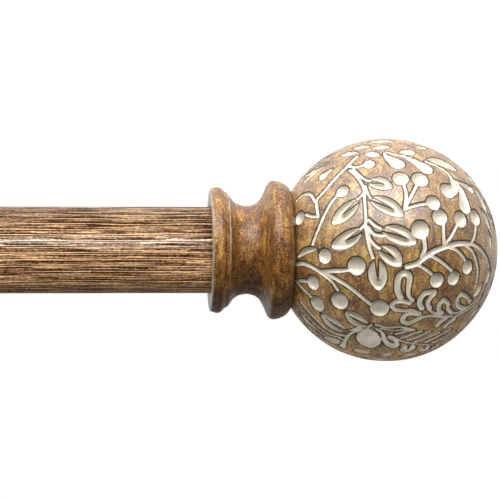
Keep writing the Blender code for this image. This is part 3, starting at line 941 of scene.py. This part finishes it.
def make_finial(side, ball_mesh, neck_mesh):
    place = (NECK_FACE[side], -PROJECTION, 0)
    turn = RIGHT if side == "right" else LEFT
    body = f"{side}_finial"
    for name, mesh, material, node in (
        ("carved_ball", ball_mesh, CARVED, "ball"),
        ("turned_neck", neck_mesh, NECK, "neck"),
    ):
        place_piece(f"{side}_{name}", mesh, material, body, [f"{side}_finial_{node}"], place, turn)

    chamfer = 0.6
    start, end, pitch = -14.0, 35.0, 1.27
    outline = [(start, 0.0), (start, STUD_R - chamfer)]
    outline += shank(start + chamfer, end - chamfer, STUD_R, pitch)
    outline += [(end, STUD_R - chamfer), (end, 0.0)]
    thread = threaded(start, end, STUD_R, pitch, 0.5)
    turned(f"{side}_finial_stud", outline, ZINC, body, place, turn, 0.0, 48, thread)

    front, back, hole_r, washer_r = 1.9, 2.9, STUD_BORE_R + 0.1, 12.0
    outline = [(front, hole_r), (front, washer_r), (back, washer_r), (back, hole_r)]
    turned(f"{side}_finial_washer", outline, NYLON, f"{side}_washer", place, turn, 0.2)


# --- Tubes and what is in them -------------------------------------------------------------------


def make_tube(name, outer_r, inner_r, body):
    """A tube with rolled edges at its ends, as long as its CAD node."""
    low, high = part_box(name)
    start, end = low.x / MM, high.x / MM
    steps = 40
    outside = [(start + (end - start) * step / steps, outer_r) for step in range(steps + 1)]
    inside = [(along, inner_r) for along, _ in reversed(outside)]
    return turned(name, outside + inside, WOOD, body, (0, -PROJECTION, 0), RIGHT, 0.22, 160)


def make_tubes():
    """The tubes and their plugs. Returns a collection of the two tubes, for their own light."""
    tubes = bpy.data.collections.new("Tubes")
    tubes.objects.link(make_tube("outer_tube", ROD_R, OUTER_BORE_R, "rod"))
    tubes.objects.link(make_tube("inner_tube", INNER_R, INNER_BORE_R, "rod_extension"))
    axis = (0, -PROJECTION, 0)

    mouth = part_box("outer_tube")[0].x / MM
    flange = 2.0
    inside, outside = INNER_R + GAP, OUTER_BORE_R - GAP
    outline = [
        (mouth - GAP - flange, inside),
        (mouth - GAP - flange, ROD_R),
        (mouth - GAP, ROD_R),
        (mouth - GAP, outside),
        (mouth + 15.0, outside),
        (mouth + 15.0, inside),
    ]
    turned("tube_bushing", outline, PLASTIC, "rod", axis, RIGHT, 0.25)

    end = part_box("inner_tube")[1].x / MM
    plug_r = INNER_BORE_R - GAP
    outline = [
        (end - 12.0, 0.0),
        (end - 12.0, plug_r),
        (end + GAP, plug_r),
        (end + GAP, outside),
        (end + GAP + flange, outside),
        (end + GAP + flange, 0.0),
    ]
    turned("inner_glide", outline, NYLON, "rod_extension", axis, RIGHT, 0.4)

    tube_in_neck, collar, hole_end, plug_end = 1.6, 2.4, -15.4, -20.4
    hole = [(tube_in_neck, STUD_BORE_R), (hole_end, STUD_BORE_R), (hole_end, 0.0)]
    wide, narrow = OUTER_BORE_R - GAP, INNER_BORE_R - GAP
    plain = [(plug_end, 0.0), (plug_end, wide), (tube_in_neck, wide)]
    collared = [(plug_end, 0.0), (plug_end, narrow), (-collar, narrow), (-collar, ROD_R)]
    collared.append((tube_in_neck, ROD_R))
    for side, outline, body, turn in (
        ("right", plain, "rod", RIGHT),
        ("left", collared, "rod_extension", LEFT),
    ):
        place = (NECK_FACE[side], -PROJECTION, 0)
        turned(f"{side}_end_plug", outline + hole, PLASTIC, body, place, turn)
    return tubes


# --- Brackets ------------------------------------------------------------------------------------


def cross_recess(piece, depth_at, place, turn):
    """Cuts a cross-shaped driver recess into a screw head."""
    for wide, deep in ((0.55, 2.3), (2.3, 0.55)):
        points = [
            (along, y * wide * size, z * deep * size)
            for along, size in ((depth_at - 2.2, 0.35), (depth_at + 1.0, 1.0))
            for y, z in ((-1, -1), (1, -1), (1, 1), (-1, 1))
        ]
        faces = [(0, 1, 2, 3), (4, 5, 6, 7), (0, 1, 5, 4), (1, 2, 6, 5), (2, 3, 7, 6), (3, 0, 4, 7)]
        cut_mesh(piece, points, faces, place, turn)


def make_plate(side, place, body):
    """The wall plate with a stepped moulding, and its two countersunk screws."""
    name = f"{side}_wall_plate"
    outline = [
        (0.0, 0.0), (0.0, 30.0), (2.2, 30.0), (3.4, 28.8), (3.5, 27.4), (4.4, 26.0), (4.7, 20.0),
        (5.0, 14.5), (6.2, 12.8), (8.0, 12.0), (8.0, 6.3), (3.0, 6.3), (3.0, 0.0),
    ]
    plate = turned(name, outline, BRONZE, body, place, ROOM, 0.5, 128)
    countersink = [(-2.0, 0.0), (-2.0, 2.5), (2.1, 2.5), (4.9, 5.3), (8.0, 5.3), (8.0, 0.0)]
    for end, height in (("upper", 20.0), ("lower", -20.0)):
        at = (place[0], place[1], height)
        cut(plate, countersink, at, ROOM)
        tip, pitch = -34.0, 2.4
        outline = [(4.4, 0.0), (4.4, 4.1), (4.0, 4.3), (2.2, 2.1)]
        outline += reversed(shank(-28.0, 2.0, 2.1, pitch))
        outline += [(tip + 2.0, 0.9), (tip, 0.0)]
        thread = threaded(-29.0, 0.5, 2.1, pitch, 0.75)
        name = f"{side}_wall_screw_{end}"
        screw = turned(name, outline, BRONZE, body, at, ROOM, 0.12, 48, thread)
        cross_recess(screw, 4.4, at, ROOM)


def make_sleeve(side, place, body):
    """The sleeve for the arm, with a drilled hole for the lock screw."""
    spigot_r, bore_r, floor = 6.0, 5.3, 14.0
    outline = [
        (3.3, 0.0), (3.3, spigot_r), (8.3, spigot_r), (8.3, 10.4), (9.8, 10.4), (11.0, 8.0),
        (12.2, 8.0), (12.6, 7.7), (13.2, 7.7), (13.6, 8.0), (46.2, 8.0), (46.9, 9.2), (49.2, 9.2),
        (50.0, 8.4), (50.0, bore_r), (floor, bore_r), (floor, 0.0),
    ]
    sleeve = turned(f"{side}_arm_sleeve", outline, BRONZE, body, place, ROOM, 0.4)
    hole_place = (place[0], -LOCK_PLACE, 0)
    cut(sleeve, pin(3.5, 11.0, 2.3), hole_place, DOWN)


def strip_mesh(name, inner_r, outer_r, top, round_off):
    """A U-shaped strip under the rod with rounded edges, in a bracket's own frame."""
    outline = []
    steps = 48
    for radius, start, end in ((outer_r, 180, 360), (inner_r, 360, 180)):
        straight = [(PROJECTION - radius, top), (PROJECTION + radius, top)]
        if start > end:
            straight.reverse()
        angles = [math.radians(start + (end - start) * k / steps) for k in range(steps + 1)]
        curve = [(PROJECTION + radius * math.cos(a), radius * math.sin(a)) for a in angles]
        outline += [straight[0]] + curve + [straight[1]]
    shape = bmesh.new()
    corners = [shape.verts.new((along, -CRADLE_HALF_WIDTH, up)) for along, up in outline]
    side = shape.faces.new(corners)
    grown = bmesh.ops.extrude_face_region(shape, geom=[side])["geom"]
    moved = [item for item in grown if isinstance(item, bmesh.types.BMVert)]
    bmesh.ops.translate(shape, vec=(0, 2 * CRADLE_HALF_WIDTH, 0), verts=moved)
    bmesh.ops.recalc_face_normals(shape, faces=shape.faces[:])
    edges = [edge for edge in shape.edges if edge.calc_face_angle(0) > math.radians(40)]
    bmesh.ops.bevel(shape, geom=edges, offset=round_off, segments=3, profile=0.5, affect="EDGES")
    bmesh.ops.transform(shape, matrix=Matrix.Scale(MM, 4), verts=shape.verts[:])
    mesh = bpy.data.meshes.new(name)
    shape.to_mesh(mesh)
    shape.free()
    mesh.shade_smooth()
    return mesh


def make_arm(side, place, body):
    """The sliding arm and its riveted cradle."""
    back_wall = PROJECTION - CRADLE_R - CRADLE_WALL
    outline = [
        (14.3, 0.0), (14.3, 4.5), (14.8, 5.0), (back_wall - 2.6, 5.0), (back_wall - 2.2, 4.7),
        (back_wall - 0.8, 4.7), (back_wall - GAP, 5.0), (back_wall - GAP, 3.0),
        (back_wall + CRADLE_WALL - GAP, 3.0), (back_wall + CRADLE_WALL - GAP, 0.0),
    ]
    turned(f"{side}_sliding_arm", outline, BRONZE, body, place, ROOM, 0.3, 64)

    name = f"{side}_cradle"
    mesh = strip_mesh(f"{name}_look", CRADLE_R, CRADLE_R + CRADLE_WALL, CRADLE_TOP, 0.6)
    cradle = place_piece(f"{name}_look", mesh, BRONZE, body, [name], place, ROOM)
    front_wall, boss_end, boss_r = PROJECTION + CRADLE_R, 108.9, 5.0
    points, faces = lathe(softened(pin(front_wall + 2.0, boss_end, boss_r), 0.5), 64)
    cut_mesh(cradle, points, faces, place, ROOM, "UNION")
    for start, end, radius in (
        (back_wall - 1.0, back_wall + CRADLE_WALL + 1.0, 3.3),
        (front_wall - 1.0, boss_end + 1.0, 2.8),
    ):
        cut(cradle, pin(start, end, radius), place, ROOM, 48)
    shade_flat_faces(cradle)


def knurled(radius, ribs, depth, start, end, thread):
    """A lathe shape with ribs round a screw's head, and a thread on its shank."""

    def shape(along, r, angle):
        if start < along < end and r > radius - 0.9:
            return r - depth * (0.5 - 0.5 * math.cos(ribs * angle)) ** 1.5
        return thread(along, r, angle)

    return shape


def make_screws(side, place):
    """The clamp screw in the cradle, the lock screw under the sleeve, and their tips."""
    wall, pitch = PROJECTION + CRADLE_R, 0.8
    pad_end, radius, head, head_r = wall + 1.2, 2.5, 113.0, 7.0
    pad = pin(wall, pad_end, radius)
    turned(f"{side}_clamp_pad", pad, NYLON, f"{side}_pad", place, ROOM, 0.2, 48)
    start = pad_end + GAP
    outline = [(start, 0.0), (start, 2.1)] + shank(start + 0.3, head - 0.3, radius, pitch)
    outline += [(head, radius), (head, 5.6), (head + 0.7, 6.2), (head + 1.2, head_r)]
    outline += [(head + 6.2, head_r), (head + 7.2, head_r - 0.8), (head + 8.0, 5.2)]
    outline += [(head + 7.4, 4.6), (head + 7.4, 0.0)]
    thread = threaded(start, head, radius, pitch, 0.35)
    grip = knurled(head_r, 24, 0.5, head + 1.0, head + 6.4, thread)
    turned(f"{side}_clamp_screw", outline, BRONZE, f"{side}_clamp", place, ROOM, 0.15, 192, grip)

    at = (place[0], -LOCK_PLACE, 0)
    top, radius, head, head_r, pitch = 5.3, 2.0, 12.0, 4.2, 0.7
    pad_end = top + 1.0
    pad = pin(top, pad_end, radius)
    turned(f"{side}_lock_pad", pad, NYLON, f"{side}_tip", at, DOWN, 0.2, 48)
    start = pad_end + GAP
    outline = [(start, 0.0), (start, 1.7)] + shank(start + 0.3, head - 0.2, radius, pitch)
    outline += [(head, radius), (head, 3.7), (head + 0.4, head_r), (head + 3.3, head_r)]
    outline += [(head + 4.0, head_r - 0.6), (head + 4.0, 0.0)]
    thread = threaded(start, head, radius, pitch, 0.3)
    grip = knurled(head_r, 18, 0.35, head + 0.3, head + 3.5, thread)
    screw = turned(f"{side}_lock_screw", outline, BRONZE, f"{side}_lock", at, DOWN, 0.12, 144, grip)
    cross_recess(screw, head + 4.0, at, DOWN)


def make_bracket(side):
    place = (BRACKET_MIDDLE[side], 0, 0)
    make_plate(side, place, f"{side}_bracket")
    make_sleeve(side, place, f"{side}_bracket")
    make_arm(side, place, f"{side}_arm")
    make_screws(side, place)


# --- Studio --------------------------------------------------------------------------------------

# The backdrop's light by height, from straight down at -1 to straight up at 1
WORLD_BY_HEIGHT = [(-1.0, 0.13), (-0.4, 0.07), (0.0, 0.06), (0.5, 0.26), (1.0, 0.8)]
WORLD_BEHIND = 0.8  # what it adds behind the object
WORLD_BEHIND_BELOW = 0.12  # the share of that which is left well below it
BACKDROP_SEEN = 1.02  # strength of the plain white that the camera sees


def make_camera():
    """Level with the rod, just left of the right finial and turned a little towards it."""
    camera = bpy.data.objects.new("Camera", bpy.data.cameras.new("Camera"))
    stands_at = Vector((76.9, -650.0, 0.0)) * MM
    looks_at = Vector((121.95, -PROJECTION, 0.0)) * MM
    camera.location = stands_at
    camera.rotation_mode = "QUATERNION"
    camera.rotation_quaternion = (looks_at - stands_at).to_track_quat("-Z", "Y")
    camera.data.lens = 137.2
    camera.data.clip_start = 0.01
    bpy.context.scene.collection.objects.link(camera)
    bpy.context.scene.camera = camera


def make_floor():
    """A pale round floor, well below the rod."""
    middle, drop, radius, sides = -0.3, -0.55, 2.3, 96
    mesh = bpy.data.meshes.new("Floor")
    angles = [2 * math.pi * k / sides for k in range(sides)]
    rim = [(radius * math.cos(a) + middle, radius * math.sin(a), drop) for a in angles]
    mesh.from_pydata(rim, [], [tuple(range(sides))])
    surface = Surface("Floor", "", Roughness=0.8)
    cloud = surface.noise(3.0)
    pale = surface.ramp(cloud, (0.3, (0.80, 0.80, 0.79)), (0.7, (0.84, 0.84, 0.83)))
    surface.set(Base_Color=pale)
    mesh.materials.append(surface.material)
    floor = bpy.data.objects.new("Floor", mesh)
    floor.visible_diffuse = False
    floor.visible_glossy = False
    bpy.context.scene.collection.objects.link(floor)


def make_world():
    """A white backdrop that lights the object from behind and above more than from the front."""
    world = bpy.data.worlds.new("Studio")
    bpy.context.scene.world = world
    world.use_nodes = True
    world.node_tree.nodes.clear()
    nodes = Nodes(world.node_tree)
    parts = nodes.add("SeparateXYZ", Vector=nodes.add("TexCoord").outputs["Generated"])
    depth, height = parts.outputs["Y"], parts.outputs["Z"]
    stops = [((level + 1) / 2, strength) for level, strength in WORLD_BY_HEIGHT]
    by_height = nodes.ramp(nodes.map_range(height, (-1.0, 1.0)), *stops)
    behind = nodes.map_range(depth, (-0.3, 0.5), (0.0, WORLD_BEHIND))
    above = nodes.map_range(height, (-0.5, 0.0), (WORLD_BEHIND_BELOW, 1.0))
    strength = nodes.math("MULTIPLY_ADD", behind, above, by_height)
    soft = nodes.add("Background", Color=(1, 1, 1, 1), Strength=strength)
    seen = nodes.add("Background", Color=(1, 1, 1, 1), Strength=BACKDROP_SEEN)
    by_camera = nodes.add("LightPath").outputs["Is Camera Ray"]
    choice = nodes.add("MixShader")
    for socket, value in zip(choice.inputs, (by_camera, soft.outputs[0], seen.outputs[0])):
        nodes.put(socket, value)
    nodes.add("OutputWorld", Surface=choice.outputs[0])


def make_light(name, across, elevation, distance, size, power, only, glossy=True):
    """A soft box in front of the finial, at a height given by its elevation in degrees.

    It lights the pieces of one collection only.
    """
    target = Vector((0.13, -PROJECTION * MM, 0.0))
    angle = math.radians(elevation)
    way = Vector((across, -math.cos(angle) * distance, math.sin(angle) * distance))
    light = bpy.data.objects.new(name, bpy.data.lights.new(name, "AREA"))
    light.data.shape = "RECTANGLE"
    light.data.size, light.data.size_y = size
    light.data.energy = power
    light.location = target + way
    light.rotation_mode = "QUATERNION"
    light.rotation_quaternion = (-way).to_track_quat("-Z", "Y")
    light.visible_camera = False
    light.visible_glossy = glossy
    light.light_linking.receiver_collection = only
    bpy.context.scene.collection.objects.link(light)


def make_studio(tubes):
    """Soft boxes, backdrop and floor. The tubes have two boxes and the balls one of their own."""
    others = bpy.data.collections.new("All but the tubes")
    balls = bpy.data.collections.new("Balls")
    for item in bpy.context.scene.objects:
        if item.type == "MESH" and item.name not in tubes.objects:
            others.objects.link(item)
        if "ball" in item.name:
            balls.objects.link(item)
    make_light("Key box", -0.15, 50, 1.3, (2.0, 1.0), 27.0, others)
    make_light("Under box", 0.0, -85, 0.5, (1.0, 0.7), 2.2, balls, glossy=False)
    make_light("Tube box", -0.08, 21.5, 1.2, (1.2, 0.30), 18.2, tubes)
    make_light("Tube fill", 0.0, -45, 0.6, (0.9, 0.4), 0.9, tubes, glossy=False)
    make_world()
    make_floor()
    scene = bpy.context.scene
    scene.view_settings.view_transform = "Standard"
    scene.view_settings.look = "None"


def main():
    make_camera()
    ball_mesh, neck_mesh = make_ball_mesh(), make_neck_mesh()
    make_finial("right", ball_mesh, neck_mesh)
    make_finial("left", ball_mesh.copy(), neck_mesh.copy())
    tubes = make_tubes()
    liner = strip_mesh("left_cradle_liner_look", INNER_R + GAP, ROD_R, CRADLE_TOP - 2.0, 0.25)
    make_bracket("right")
    make_bracket("left")
    place = (BRACKET_MIDDLE["left"], 0, 0)
    nodes = ["left_cradle_liner"]
    place_piece("left_cradle_liner_look", liner, NYLON, "left_arm", nodes, place, ROOM)
    make_studio(tubes)


main()
